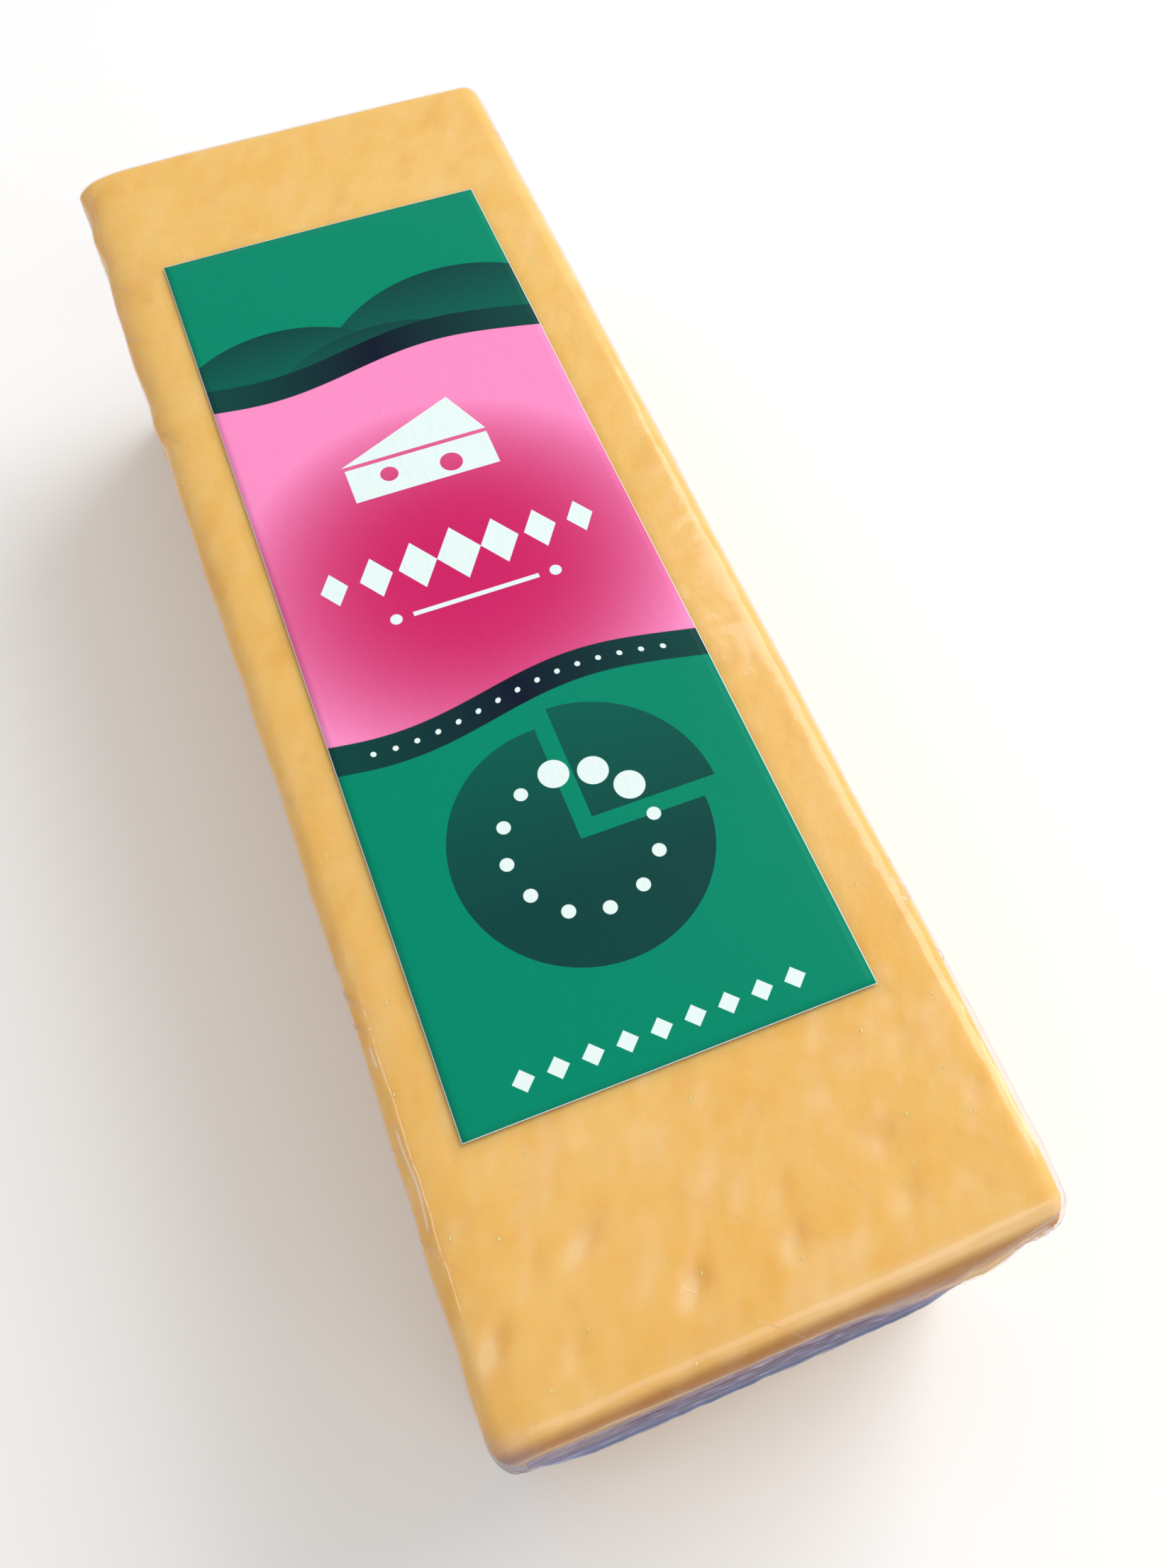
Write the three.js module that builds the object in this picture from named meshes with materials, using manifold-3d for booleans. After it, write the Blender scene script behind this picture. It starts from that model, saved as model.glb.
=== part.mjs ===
// A catering block of orange cheddar, shrunk tight into a clear bag, with a printed label on its top.
// Millimetres, +Z up. The origin is the middle of the underside. The block's length runs along Y,
// and its near end, at -Y, is the one with the plain margin of cheese below the label.
import * as THREE from "three";
import { mergeVertices } from "three/addons/utils/BufferGeometryUtils.js";
import Module from "manifold-3d";

// Driving sizes of the block
const BLOCK_WIDTH = 100.4;
const BLOCK_LENGTH = 296.6;
const BLOCK_HEIGHT = 80;
const EDGE_RADIUS = 4.6;

// How far the soft faces stray from a true box
const LEFT_WAIST = 1.2;
const LEFT_WAIST_TURNS = 0.62;
const FAR_CORNER_FALL = 2.6;
const FAR_RIGHT_SHARE = 0.45;
const NEAR_BELLY = 0.5;
const NEAR_CORNER_FALL = 2.4;
const NEAR_CORNER_POWER = 6;
const RIGHT_CORNER_FALL = 1.3;
const RIGHT_CORNER_POWER = 18;
const SIDE_SWELL = 0.45;
const SIDE_WAVE = 64;
const TOP_SWELL = 0.12;
const TOP_WAVE = 90;

// How the top falls towards its left and near edges, before their roundings start
const RIM_FALL = 1.7;
const RIM_FALL_REACH = 11.7;

// Puckers of film down the left side
const PUCKER_DEPTH = 0.4;
const PUCKER_PITCH = 30;
const PUCKER_DRIFT = 0.3;

// Soft dents in the margin of cheese at the near end of the top
const DENT_PITCH = 9.6;
const DENT_LENGTH = 3.6;
const DENT_BREADTH = 1.9;
const DENT_DEPTH = 0.5;
const DENT_LEAN = THREE.MathUtils.degToRad(58);
const DENT_ROWS = 4;
const DENT_COLUMNS = 9;
const DENT_FIRST_ROW = 13;
const DENT_JITTER = 0.7;

// Two flat ears on each end, where the film is gathered in from the sides
const EAR_REACH = 34;
const EAR_THICKNESS = 0.8;
const EAR_MIDDLE = 42;
const EAR_HALF_HEIGHT = 39;
const EAR_SLOPE = 1.5;

// The bag's sealed tails, one folded down over the ears of each end and nearer to one side
const TAIL_WIDTH = 82;
const TAIL_SHIFT = -4;
const TAIL_TOP = 52;
const TAIL_DROP = 14;
const TAIL_THICKNESS = 0.6;
const TAIL_ROOT = 2;
const TAIL_GAP = 0.4;
const TAIL_BEND = 0.5;
const TAIL_WAVE = 31;
const TAIL_RIPPLE = 0.2;

// The label
const LABEL_WIDTH = 74;
const LABEL_LENGTH = 210.6;
const LABEL_THICKNESS = 0.3;
const LABEL_GAP = 0.3;
const LABEL_SHIFT_X = -1.1;
const LABEL_SHIFT_Y = 2.8;

// How finely the faces are divided
const ROUNDING_STEPS = 3;
const STEPS_ACROSS = 22;
const STEPS_UP = 10;
const FINE_STEPS_ALONG = 16;
const COARSE_STEPS_ALONG = 26;
const FINE_LENGTH = 46;
const TAIL_STEPS_ACROSS = 20;
const TAIL_BEND_STEPS = 2;
const TAIL_DROP_STEPS = 3;
const LABEL_STEPS_ACROSS = 6;
const LABEL_STEPS_ALONG = 16;

const { clamp, lerp, smoothstep } = THREE.MathUtils;
const TURN = 2 * Math.PI;

const CHEESE_IN_FILM = new THREE.MeshStandardMaterial({ color: 0xeebe72, roughness: 0.3, metalness: 0 });
const PRINTED_PAPER = new THREE.MeshStandardMaterial({ color: 0x078a6b, roughness: 0.45, metalness: 0 });

// A number from 0 to 1 that stays the same for the same two whole numbers.
function scatter(i, j) {
  const value = Math.sin(i * 12.9898 + j * 78.233) * 43758.5453;
  return value - Math.floor(value);
}

// Where a cut at a share from 0 to 1 of a row of steps lies between -half and half, with
// ROUNDING_STEPS cuts spaced by equal angles over the rounding at each end.
function roundedCut(share, steps, half) {
  const count = steps + 2 * ROUNDING_STEPS;
  const index = Math.round(share * count);
  const inner = half - EDGE_RADIUS;
  const overRounding = (k) => inner + EDGE_RADIUS * Math.tan((Math.PI / 4) * (k / ROUNDING_STEPS));
  if (index < ROUNDING_STEPS) return -overRounding(ROUNDING_STEPS - index);
  if (index > steps + ROUNDING_STEPS) return overRounding(index - steps - ROUNDING_STEPS);
  return lerp(-inner, inner, (index - ROUNDING_STEPS) / steps);
}

// The same along the length, where the cuts are closer together over the dented near margin.
function cutAlong(share) {
  const steps = FINE_STEPS_ALONG + COARSE_STEPS_ALONG;
  const half = BLOCK_LENGTH / 2;
  const inner = half - EDGE_RADIUS;
  const index = Math.round(share * (steps + 2 * ROUNDING_STEPS)) - ROUNDING_STEPS;
  if (index <= 0 || index >= steps) return roundedCut(share, steps, half);
  const fineEnd = -inner + FINE_LENGTH;
  if (index <= FINE_STEPS_ALONG) return lerp(-inner, fineEnd, index / FINE_STEPS_ALONG);
  return lerp(fineEnd, inner, (index - FINE_STEPS_ALONG) / COARSE_STEPS_ALONG);
}

// How deep the top is dented at a point: a jittered grid of leaning oval dents near the near end.
function dentDepth(x, y) {
  let depth = 0;
  for (let row = 0; row < DENT_ROWS; row++) {
    for (let column = 0; column < DENT_COLUMNS; column++) {
      const across = (column - (DENT_COLUMNS - 1) / 2 + scatter(row, column) - 0.5) * DENT_PITCH;
      const shift = DENT_JITTER * (scatter(column, row + 9) - 0.5);
      const fromEnd = DENT_FIRST_ROW + (row + shift) * DENT_PITCH;
      const dx = x - across;
      const dy = y + BLOCK_LENGTH / 2 - fromEnd;
      const along = (dx * Math.cos(DENT_LEAN) + dy * Math.sin(DENT_LEAN)) / DENT_LENGTH;
      const over = (dy * Math.cos(DENT_LEAN) - dx * Math.sin(DENT_LEAN)) / DENT_BREADTH;
      const strength = scatter(row + 20, column + 5) * (1 - row / DENT_ROWS);
      depth += DENT_DEPTH * strength * Math.exp(-(along * along + over * over));
    }
  }
  return depth;
}

// How far each face of the soft block stands out from a true box.
function leftSwell(y, z) {
  const fromFar = 0.5 - y / BLOCK_LENGTH;
  const waist = LEFT_WAIST * Math.cos(TURN * LEFT_WAIST_TURNS * fromFar);
  const drift = PUCKER_DRIFT * Math.sin((TURN * y) / SIDE_WAVE);
  const pucker = PUCKER_DEPTH * Math.sin(TURN * (y / PUCKER_PITCH + drift));
  const fade = 0.5 + 0.5 * Math.sin((TURN * z) / BLOCK_HEIGHT + y / SIDE_WAVE);
  return waist + pucker * fade;
}

function rightSwell(y, z) {
  const swell = SIDE_SWELL * Math.sin((TURN * y) / SIDE_WAVE) * Math.sin((Math.PI * z) / BLOCK_HEIGHT);
  return swell - RIGHT_CORNER_FALL * Math.max(0, (-2 * y) / BLOCK_LENGTH) ** RIGHT_CORNER_POWER;
}

// An ear is a flat triangle with its base at a side edge and its point towards the middle.
function earStep(x, z) {
  const inFromSide = BLOCK_WIDTH / 2 - Math.abs(x);
  const halfHeight = EAR_HALF_HEIGHT * (1 - inFromSide / EAR_REACH);
  const inside = halfHeight - Math.abs(z - EAR_MIDDLE);
  return EAR_THICKNESS * smoothstep(inside, -EAR_SLOPE, EAR_SLOPE);
}

// How far the two ends bow out, or fall back, across the width.
function farBow(x) {
  const fall = FAR_CORNER_FALL * (x < 0 ? 1 : FAR_RIGHT_SHARE);
  return -fall * Math.abs((2 * x) / BLOCK_WIDTH) ** 3;
}

function nearBow(x, bellyShare) {
  const belly = NEAR_BELLY * Math.cos((Math.PI * x) / BLOCK_WIDTH);
  return belly * bellyShare - NEAR_CORNER_FALL * Math.max(0, (2 * x) / BLOCK_WIDTH) ** NEAR_CORNER_POWER;
}

function farSwell(x, z) {
  return earStep(x, z) + farBow(x);
}

function nearSwell(x, z) {
  return earStep(x, z) + nearBow(x, Math.sin((Math.PI * z) / BLOCK_HEIGHT));
}

function rimFall(x, y) {
  const across = clamp(1 - (BLOCK_WIDTH / 2 + x) / RIM_FALL_REACH, 0, 1);
  const along = clamp(1 - (BLOCK_LENGTH / 2 + y) / RIM_FALL_REACH, 0, 1);
  return RIM_FALL * (across ** 2 + along ** 2);
}

function topSwell(x, y) {
  const wave = Math.sin((TURN * y) / TOP_WAVE) * Math.cos((TURN * x) / TOP_WAVE);
  return TOP_SWELL * wave - dentDepth(x, y) - rimFall(x, y);
}

// Moves every vertex of a divided box to where place says, and returns the closed result.
function shaped(box, place) {
  const closed = box.clone();
  closed.deleteAttribute("normal");
  closed.deleteAttribute("uv");
  const merged = mergeVertices(closed, 1e-4);
  const at = merged.attributes.position;
  const point = new THREE.Vector3();
  for (let i = 0; i < at.count; i++) {
    point.fromBufferAttribute(at, i);
    place(point);
    at.setXYZ(i, point.x, point.y, point.z);
  }
  return merged;
}

// Closes the flat underside with one fan of triangles in place of its grid.
function withPlainUnderside(geometry) {
  const at = geometry.attributes.position;
  const corners = geometry.index.array;
  const kept = [];
  const rim = new Map();
  for (let i = 0; i < corners.length; i += 3) {
    const triangle = [corners[i], corners[i + 1], corners[i + 2]];
    if (triangle.some((vertex) => at.getZ(vertex) > 0)) {
      kept.push(...triangle);
      continue;
    }
    triangle.forEach((from, k) => {
      const to = triangle[(k + 1) % 3];
      if (!rim.delete(`${to} ${from}`)) rim.set(`${from} ${to}`, [from, to]);
    });
  }
  const middle = at.count;
  rim.forEach(([from, to]) => kept.push(from, to, middle));
  const plain = new THREE.BufferGeometry();
  plain.setAttribute("position", new THREE.Float32BufferAttribute([...at.array, 0, 0, 0], 3));
  plain.setIndex(kept);
  return plain;
}

// The block: a rounded box whose faces swell, waist and dent as the real one's do.
function blockGeometry() {
  const half = new THREE.Vector3(BLOCK_WIDTH, BLOCK_LENGTH, BLOCK_HEIGHT).multiplyScalar(0.5);
  const inner = half.clone().subScalar(EDGE_RADIUS);
  const stepsAlong = FINE_STEPS_ALONG + COARSE_STEPS_ALONG;
  const extra = 2 * ROUNDING_STEPS;
  const box = new THREE.BoxGeometry(1, 1, 1, STEPS_ACROSS + extra, stepsAlong + extra, STEPS_UP + extra);
  const core = new THREE.Vector3();
  const out = new THREE.Vector3();
  const block = shaped(box, (p) => {
    p.set(
      roundedCut(p.x + 0.5, STEPS_ACROSS, half.x),
      cutAlong(p.y + 0.5),
      roundedCut(p.z + 0.5, STEPS_UP, half.z),
    );
    core.copy(p).clamp(inner.clone().negate(), inner);
    out.copy(p).sub(core).normalize();
    p.copy(core).addScaledVector(out, EDGE_RADIUS);
    p.z += half.z;
    const { x, y, z } = p;
    p.x += out.x > 0 ? out.x * rightSwell(y, z) : out.x * leftSwell(y, z);
    p.y += out.y > 0 ? out.y * farSwell(x, z) : out.y * nearSwell(x, z);
    p.z += Math.max(0, out.z) * topSwell(x, y);
  });
  return withPlainUnderside(block);
}

// How far along a tail's middle line a cut lies: the straight root is one step, then come the
// steps of the bend and of the drop.
function alongTail(index, straight, bent) {
  if (index === 0) return 0;
  const bendShare = Math.min(1, (index - 1) / TAIL_BEND_STEPS);
  const dropShare = Math.max(0, index - 1 - TAIL_BEND_STEPS) / TAIL_DROP_STEPS;
  return straight + bent * bendShare + TAIL_DROP * dropShare;
}

// A sealed tail: a strip that leaves the end face, turns over and hangs down clear of the ears.
// facing is -1 at the near end and 1 at the far end, where it is the same tail turned round.
function tailGeometry(facing) {
  const steps = 1 + TAIL_BEND_STEPS + TAIL_DROP_STEPS;
  const box = new THREE.BoxGeometry(TAIL_WIDTH, 1, TAIL_THICKNESS, TAIL_STEPS_ACROSS, steps, 1);
  const bent = (Math.PI / 2) * TAIL_BEND;
  const bow = facing < 0 ? (x) => nearBow(x, 1) : farBow;
  return shaped(box, (p) => {
    const x = -facing * (p.x + TAIL_SHIFT);
    const standOff = EAR_THICKNESS + bow(x) + TAIL_GAP + TAIL_THICKNESS / 2;
    const straight = TAIL_ROOT + standOff - TAIL_BEND;
    const gone = alongTail(Math.round((p.y + 0.5) * steps), straight, bent);
    const turned = clamp((gone - straight) / bent, 0, 1) * (Math.PI / 2);
    const hung = Math.max(0, gone - straight - bent);
    const ripple = TAIL_RIPPLE * Math.sin((TURN * x) / TAIL_WAVE) * (hung / TAIL_DROP);
    const outward = Math.min(gone, straight) + TAIL_BEND * Math.sin(turned) + ripple;
    const height = TAIL_TOP - TAIL_BEND * (1 - Math.cos(turned)) - hung;
    const endFace = BLOCK_LENGTH / 2 - TAIL_ROOT;
    p.set(x, facing * (endFace + outward + p.z * Math.sin(turned)), height + p.z * Math.cos(turned));
  });
}

// The label: a thin sheet that follows the top.
function labelGeometry() {
  const box = new THREE.BoxGeometry(
    LABEL_WIDTH,
    LABEL_LENGTH,
    LABEL_THICKNESS,
    LABEL_STEPS_ACROSS,
    LABEL_STEPS_ALONG,
    1,
  );
  return shaped(box, (p) => {
    p.x += LABEL_SHIFT_X;
    p.y += LABEL_SHIFT_Y;
    p.z += BLOCK_HEIGHT + LABEL_GAP + LABEL_THICKNESS / 2 + topSwell(p.x, p.y);
  });
}

// Joins closed geometries into one closed geometry.
async function joined(geometries) {
  const wasm = await Module();
  wasm.setup();
  const solids = geometries.map((geometry) => {
    const vertProperties = new Float32Array(geometry.attributes.position.array);
    const triVerts = new Uint32Array(geometry.index.array);
    return new wasm.Manifold(new wasm.Mesh({ numProp: 3, vertProperties, triVerts }));
  });
  const mesh = solids.reduce((all, solid) => all.add(solid)).getMesh();
  const result = new THREE.BufferGeometry();
  result.setAttribute("position", new THREE.BufferAttribute(mesh.vertProperties, 3));
  result.setIndex(new THREE.BufferAttribute(mesh.triVerts, 1));
  return result;
}

function namedMesh(name, geometry, material) {
  const mesh = new THREE.Mesh(geometry, material);
  mesh.name = name;
  return mesh;
}

const packGeometry = await joined([blockGeometry(), tailGeometry(-1), tailGeometry(1)]);
const group = new THREE.Group();
group.add(namedMesh("cheddar_pack", packGeometry, CHEESE_IN_FILM));
group.add(namedMesh("label", labelGeometry(), PRINTED_PAPER));

// Sets the origin at the middle of the underside.
const bounds = new THREE.Box3().setFromObject(group);
const middle = bounds.getCenter(new THREE.Vector3());
group.position.set(-middle.x, -middle.y, -bounds.min.z);

export default group;
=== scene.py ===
import math
from functools import reduce

import bmesh
import bpy
import numpy as np
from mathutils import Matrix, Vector, noise


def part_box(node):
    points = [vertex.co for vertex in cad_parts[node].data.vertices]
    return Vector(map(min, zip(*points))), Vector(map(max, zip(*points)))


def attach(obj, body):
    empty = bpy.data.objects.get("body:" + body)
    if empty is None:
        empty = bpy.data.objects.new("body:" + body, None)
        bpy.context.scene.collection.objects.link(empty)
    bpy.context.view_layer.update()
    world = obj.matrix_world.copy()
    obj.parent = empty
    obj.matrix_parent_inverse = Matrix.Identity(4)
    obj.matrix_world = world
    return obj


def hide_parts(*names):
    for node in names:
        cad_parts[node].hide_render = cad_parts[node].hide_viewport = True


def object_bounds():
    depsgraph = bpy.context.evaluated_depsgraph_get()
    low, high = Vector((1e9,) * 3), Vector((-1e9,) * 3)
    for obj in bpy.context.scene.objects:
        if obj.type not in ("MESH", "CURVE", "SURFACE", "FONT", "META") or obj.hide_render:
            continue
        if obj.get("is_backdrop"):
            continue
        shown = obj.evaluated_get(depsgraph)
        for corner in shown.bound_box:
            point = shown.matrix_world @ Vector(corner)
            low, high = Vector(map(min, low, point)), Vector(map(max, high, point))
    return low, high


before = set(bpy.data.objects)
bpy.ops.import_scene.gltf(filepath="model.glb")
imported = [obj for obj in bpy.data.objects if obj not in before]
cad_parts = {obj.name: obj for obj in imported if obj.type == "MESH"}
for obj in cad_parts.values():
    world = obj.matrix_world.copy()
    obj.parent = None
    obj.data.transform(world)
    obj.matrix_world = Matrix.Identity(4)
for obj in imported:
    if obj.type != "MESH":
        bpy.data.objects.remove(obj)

cad_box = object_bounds()

MM = 0.001
TURN = 2 * math.pi

# The block's form, the same as its solid's
BLOCK = np.array((100.4, 296.6, 80.0)) * MM
EDGE_RADIUS = 4.6 * MM
LEFT_WAIST = 1.2 * MM
LEFT_WAIST_TURNS = 0.62
FAR_CORNER_FALL = 2.6 * MM
FAR_RIGHT_SHARE = 0.45
NEAR_BELLY = 0.5 * MM
NEAR_CORNER_FALL = 2.4 * MM
NEAR_CORNER_POWER = 6
RIGHT_CORNER_FALL = 1.3 * MM
RIGHT_CORNER_POWER = 18
SIDE_SWELL = 0.45 * MM
SIDE_WAVE = 64 * MM
TOP_SWELL = 0.12 * MM
TOP_WAVE = 90 * MM
PUCKER_DEPTH = 0.4 * MM
PUCKER_PITCH = 30 * MM
PUCKER_DRIFT = 0.3

# The dents in the near margin of the top. A dent's painted highlight and painted shade lie off its middle by
# the offset, where the key lamp would light and shade its sides
DENT_PITCH = 9.6 * MM
DENT_LENGTH = 3.6 * MM
DENT_BREADTH = 1.9 * MM
DENT_DEPTH = 0.5 * MM
DENT_LEAN = math.radians(58)
DENT_ROWS = 4
DENT_COLUMNS = 9
DENT_FIRST_ROW = 13 * MM
DENT_JITTER = 0.7
DENT_LIGHTING_OFFSET = (1.4 * MM, 0.6 * MM)

# The triangles of film gathered in at the ends
EAR_REACH = 34 * MM
EAR_THICKNESS = 0.8 * MM
EAR_MIDDLE = 42 * MM
EAR_HALF_HEIGHT = 39 * MM
EAR_SLOPE = 1.5 * MM

# How far the top falls at its left and near edges, and how far in from them that starts
RIM_FALL = 1.7 * MM
RIM_FALL_REACH = 11.7 * MM

# The sealed tails
TAIL_WIDTH = 82 * MM
TAIL_SHIFT = -4 * MM
TAIL_TOP = 52 * MM
TAIL_DROP = 14 * MM
TAIL_ROOT = 1.2 * MM
TAIL_STAND_OFF = 2.0 * MM
TAIL_BEND = 0.6 * MM
TAIL_FILM = 0.25 * MM
TAIL_COLUMNS = 151
TAIL_ROWS = 71
CRIMP_PITCH = 1.1 * MM

# The film on the cheese. It stands off further at the right side's near part, which starts in this range
FILM_GAP = 0.25 * MM
RIM_LIFT = 0.7 * MM
RIM_LIFT_START = (92 * MM, 118 * MM)

# The crumpled right half of the near end: where it starts across, along and down from the rim, and the
# roll of film and cheese under the rim, which rises above the tail and stops short of the corner
NEAR_RIGHT_ACROSS = (6 * MM, 26 * MM)
NEAR_RIGHT_ALONG = (100 * MM, 140 * MM)
NEAR_RIGHT_DOWN = (3 * MM, 8 * MM)
ROLL_HEIGHT = 1.1 * MM
ROLL_RISE = (TAIL_TOP + 3 * MM, TAIL_TOP + 10 * MM)
ROLL_END = (37 * MM, 42 * MM)

# Fine relief that the solid leaves out. A layer of lumps has its height, its lumps' size across, along
# and up, and its seed, with the height and size in millimetres
RAGGED_LUMPS = ((0.45, (3.4, 9, 5), 12.4), (0.225, (1.6, 5, 3), 2.6))
SIDE_LUMPS = ((0.5, (26, 30, 22), 6.8), (0.16, (7, 8, 9), 31.5))
SIDE_WRINKLES = ((0.18, (30, 7, 34), 3.1),)
END_WRINKLES = ((0.22, (36, 30, 5), 8.7),)
RIM_NICKS = ((0.12, (9, 4, 9), 5.3),)
LABEL_RUFFLE = ((0.05, (22, 22, 22), 1.7),)

# How fine the meshes are: the cheese's and the film's step over the flats, with their steps over half a
# rounding, and the label's cells across and along
CHEESE_MESH = (1.7 * MM, 5)
FILM_MESH = (1.3 * MM, 6)
LABEL_MESH = (50, 140)

# The label's place from the block's middle, how far it lies off the block's form, and its thickness,
# which swells over the edge's width
LABEL_SHIFT_X = -1.1 * MM
LABEL_SHIFT_Y = 2.8 * MM
LABEL_LIFT = 0.18 * MM
LABEL_THICKNESS = 0.18 * MM
LABEL_SWELL = 0.1 * MM
LABEL_EDGE = 4 * MM

label_low, label_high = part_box("label")
LABEL_SIZE = label_high - label_low
BLOCK_X = (label_low.x + label_high.x) / 2 - LABEL_SHIFT_X
BLOCK_Y = (label_low.y + label_high.y) / 2 - LABEL_SHIFT_Y

# The measures that the materials take, in millimetres
HALF_WIDTH_MM, HALF_LENGTH_MM, HEIGHT_MM = (BLOCK / MM * (0.5, 0.5, 1)).tolist()
LABEL_HALF_WIDTH_MM = LABEL_SIZE.x / MM / 2
LABEL_HALF_LENGTH_MM = LABEL_SIZE.y / MM / 2
TAIL_TOP_MM = TAIL_TOP / MM


def scatter(i, j):
    """A number from 0 to 1 that stays the same for the same two whole numbers."""
    value = math.sin(i * 12.9898 + j * 78.233) * 43758.5453
    return value - math.floor(value)


def smooth(value, low, high):
    """0 below low, 1 above high and a soft step between them."""
    share = np.clip((value - low) / (high - low), 0, 1)
    return share * share * (3 - 2 * share)


def lumps(points, layers):
    """How far layers of Perlin noise stand out at every point, in metres."""
    total = np.zeros(len(points))
    for height, size, seed in layers:
        moved = points / (np.array(size) * MM) + seed
        total += height * MM * np.array([noise.noise(Vector(p)) for p in moved])
    return total


def left_swell(y, z):
    waist = LEFT_WAIST * np.cos(TURN * LEFT_WAIST_TURNS * (0.5 - y / BLOCK[1]))
    drift = PUCKER_DRIFT * np.sin(TURN * y / SIDE_WAVE)
    pucker = PUCKER_DEPTH * np.sin(TURN * (y / PUCKER_PITCH + drift))
    fade = 0.5 + 0.5 * np.sin(TURN * z / BLOCK[2] + y / SIDE_WAVE)
    return waist + pucker * fade


def right_swell(y, z):
    swell = SIDE_SWELL * np.sin(TURN * y / SIDE_WAVE) * np.sin(math.pi * z / BLOCK[2])
    return swell - RIGHT_CORNER_FALL * np.maximum(0, -2 * y / BLOCK[1]) ** RIGHT_CORNER_POWER


def far_bow(x):
    fall = np.where(x < 0, FAR_CORNER_FALL, FAR_CORNER_FALL * FAR_RIGHT_SHARE)
    return -fall * np.abs(2 * x / BLOCK[0]) ** 3


def near_bow(x, belly_share):
    belly = NEAR_BELLY * np.cos(math.pi * x / BLOCK[0])
    return belly * belly_share - NEAR_CORNER_FALL * np.maximum(0, 2 * x / BLOCK[0]) ** NEAR_CORNER_POWER


def ear_step(x, z):
    """How far the film gathered in from the sides stands out from an end: two flat triangles."""
    in_from_side = BLOCK[0] / 2 - np.abs(x)
    half_height = EAR_HALF_HEIGHT * (1 - in_from_side / EAR_REACH)
    inside = half_height - np.abs(z - EAR_MIDDLE)
    return EAR_THICKNESS * smooth(inside, -EAR_SLOPE, EAR_SLOPE)


def dent_depth(x, y):
    """The soft leaning dents in the near margin of the top."""
    depth = np.zeros_like(x)
    for row in range(DENT_ROWS):
        for column in range(DENT_COLUMNS):
            across = (column - (DENT_COLUMNS - 1) / 2 + scatter(row, column) - 0.5) * DENT_PITCH
            shift = DENT_JITTER * (scatter(column, row + 9) - 0.5)
            dx = x - across
            dy = y + BLOCK[1] / 2 - DENT_FIRST_ROW - (row + shift) * DENT_PITCH
            along = (dx * math.cos(DENT_LEAN) + dy * math.sin(DENT_LEAN)) / DENT_LENGTH
            over = (dy * math.cos(DENT_LEAN) - dx * math.sin(DENT_LEAN)) / DENT_BREADTH
            strength = scatter(row + 20, column + 5) * (1 - row / DENT_ROWS)
            depth += DENT_DEPTH * strength * np.exp(-(along**2 + over**2))
    return depth


def rim_fall(x, y):
    across = np.clip(1 - (BLOCK[0] / 2 + x) / RIM_FALL_REACH, 0, 1)
    along = np.clip(1 - (BLOCK[1] / 2 + y) / RIM_FALL_REACH, 0, 1)
    return RIM_FALL * (across**2 + along**2)


def top_swell(x, y):
    wave = np.sin(TURN * y / TOP_WAVE) * np.cos(TURN * x / TOP_WAVE)
    return TOP_SWELL * wave - dent_depth(x, y) - rim_fall(x, y)


def cuts(size, step, rounding_steps):
    """Where the cuts across a rounded face lie, spaced by equal angles over its roundings."""
    inner = size / 2 - EDGE_RADIUS
    flat = np.linspace(-inner, inner, round(2 * inner / step) + 1)
    angles = np.linspace(0, math.pi / 4, rounding_steps + 1)[1:]
    rounding = inner + EDGE_RADIUS * np.tan(angles)
    return np.concatenate((-rounding[::-1], flat, rounding))


def box_lattice(counts):
    """The whole-number points on the surface of a box of cells, and its quads, which face out."""
    found, quads = {}, []
    for axis in range(3):
        u, v = (axis + 1) % 3, (axis + 2) % 3
        for side in (0, counts[axis]):
            for i in range(counts[u]):
                for j in range(counts[v]):
                    ring = [(i, j), (i + 1, j), (i + 1, j + 1), (i, j + 1)]
                    if side == 0:
                        ring.reverse()
                    quad = []
                    for a, b in ring:
                        key = [side] * 3
                        key[u], key[v] = a, b
                        quad.append(found.setdefault(tuple(key), len(found)))
                    quads.append(quad)
    return np.array(list(found)), quads


def near_right(x, y):
    """1 on the right half of the near end and 0 elsewhere, with a soft change between."""
    return smooth(x, *NEAR_RIGHT_ACROSS) * smooth(-y, *NEAR_RIGHT_ALONG)


def ragged_end(at, out):
    """The crumpled relief of the near end's right half, which film and cheese have in common."""
    x, y, z = at.T
    roll = ROLL_HEIGHT * smooth(z, *ROLL_RISE) * (1 - smooth(x, *ROLL_END))
    on_end = np.clip(-out[:, 1], 0, 1) * smooth(BLOCK[2] - z, *NEAR_RIGHT_DOWN)
    return (lumps(at, RAGGED_LUMPS) + roll) * near_right(x, y) * on_end


def side_lumps(at, out):
    """The slight dips and lumps of the sides, which film and cheese have in common."""
    upright = np.clip(1 - np.abs(out[:, 2]) * 1.4, 0, 1)
    return lumps(at, SIDE_LUMPS) * upright


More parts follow.
